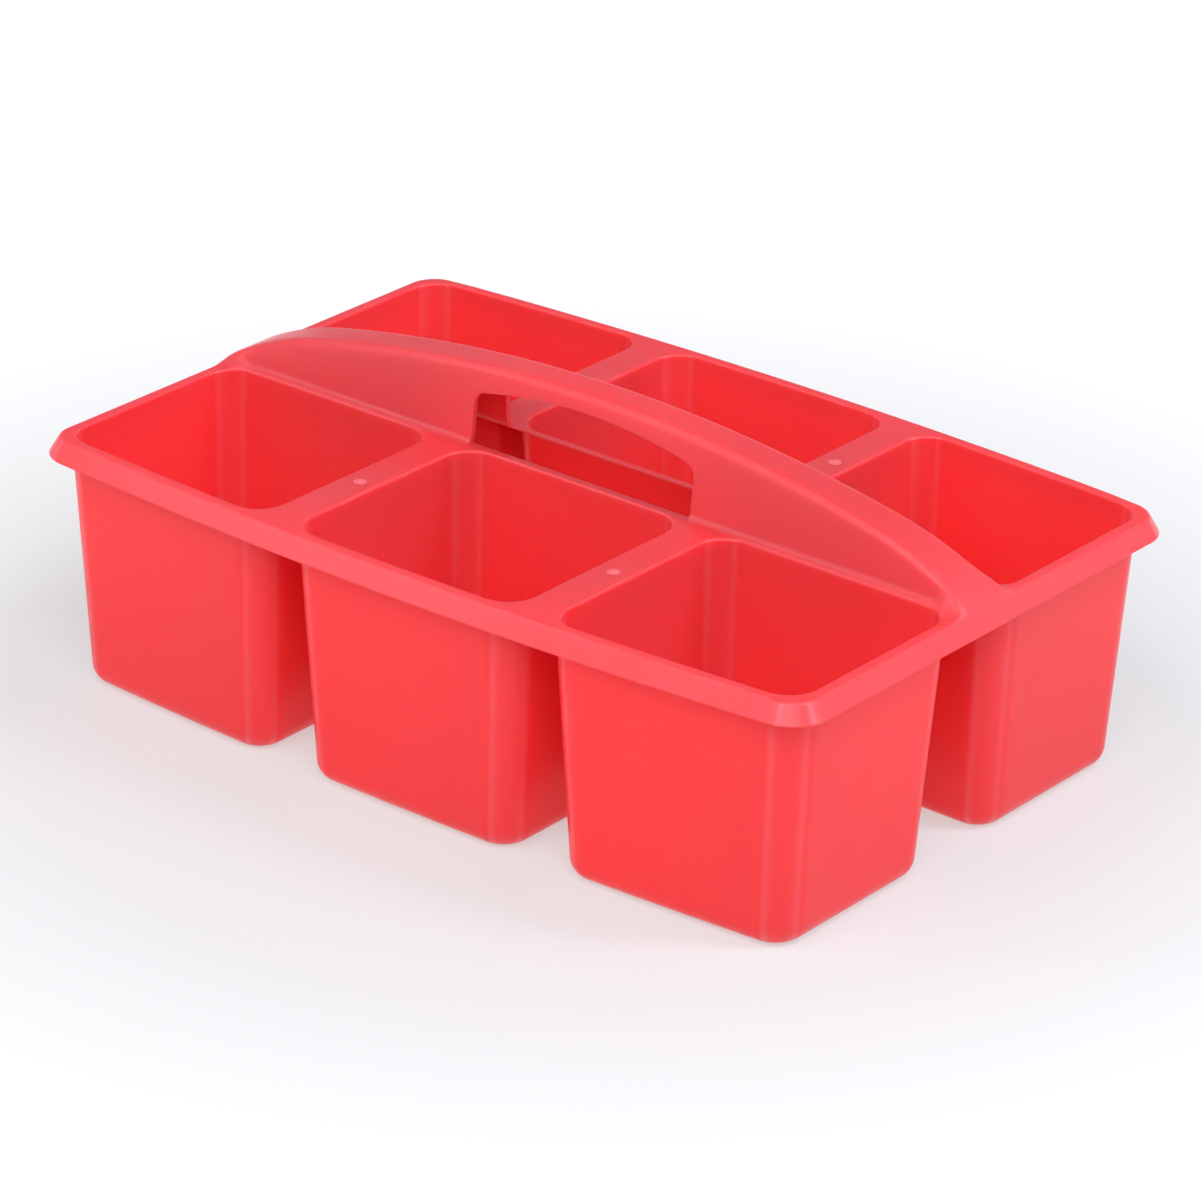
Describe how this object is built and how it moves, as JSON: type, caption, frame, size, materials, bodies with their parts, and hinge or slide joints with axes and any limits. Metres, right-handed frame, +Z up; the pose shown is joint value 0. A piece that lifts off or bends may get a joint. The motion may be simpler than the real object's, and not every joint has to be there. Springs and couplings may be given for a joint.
{
  "type": "art supply caddy",
  "caption": "Moulded plastic desktop caddy: open tapered cups in rows under one deck with a turned-down rim, and a hollow carry arch with a hand slot between them.",
  "frame": {"origin": "on the ground, under the middle of the caddy", "axes": "+X along the carry arch, the longest side; +Y towards the rear row; +Z up, out of the cups; -Y is the front"},
  "size_m": [0.3296, 0.223, 0.1234],
  "materials": {
    "red_plastic": "satin red polypropylene, fine moulded grain, slightly translucent"
  },
  "bodies": {
    "root": {"cup_front_left": "red_plastic", "cup_front_middle": "red_plastic", "cup_front_right": "red_plastic", "cup_rear_left": "red_plastic", "cup_rear_middle": "red_plastic", "cup_rear_right": "red_plastic", "divider_front_left": "red_plastic", "divider_front_right": "red_plastic", "divider_rear_left": "red_plastic", "divider_rear_right": "red_plastic", "rim": "red_plastic", "carry_arch": "red_plastic"}
  },
  "joints": []
}
